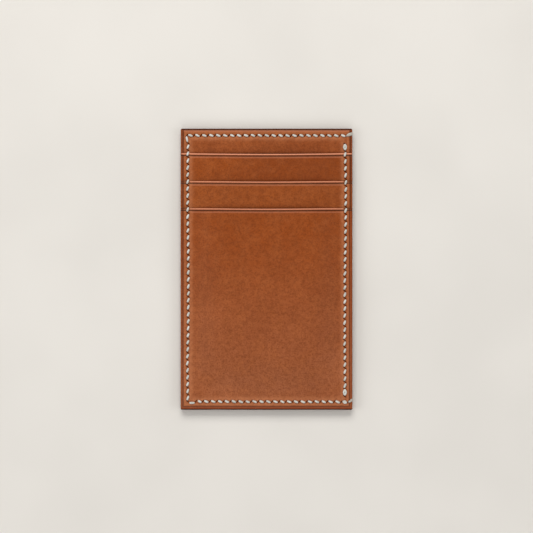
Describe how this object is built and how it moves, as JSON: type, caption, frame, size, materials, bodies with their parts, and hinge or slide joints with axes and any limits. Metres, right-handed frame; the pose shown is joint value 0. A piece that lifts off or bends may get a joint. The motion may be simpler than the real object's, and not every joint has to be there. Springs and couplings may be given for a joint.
{
  "type": "card holder",
  "caption": "Slim upright leather card holder with stepped card slots on the front, a central pocket open along the right side, and contrast saddle stitching.",
  "frame": {"origin": "centre of the back face, which the holder lies on", "axes": "+X across the holder towards the mouth of the central pocket, +Y up the holder, the way the card slots open, +Z out of the front"},
  "size_m": [0.069, 0.113, 0.0063],
  "materials": {
    "tan_leather": "smooth waxed calf leather, semi-matt, with painted dark edges",
    "lining_leather": "thin smooth lining leather, matt",
    "waxed_thread": "twisted and waxed off-white linen thread",
    "fine_thread": "fine tan thread, hidden inside"
  },
  "bodies": {
    "root": {"back_panel": "tan_leather", "slot_backing": "tan_leather", "upper_slot_pocket": "tan_leather", "middle_slot_pocket": "tan_leather", "front_pocket": "tan_leather", "back_lining": "lining_leather", "front_lining": "lining_leather", "perimeter_seam": "waxed_thread", "slot_side_seam": "waxed_thread", "back_mouth_seam": "waxed_thread", "upper_slot_bottom_seam": "fine_thread", "middle_slot_bottom_seam": "fine_thread"}
  },
  "joints": []
}
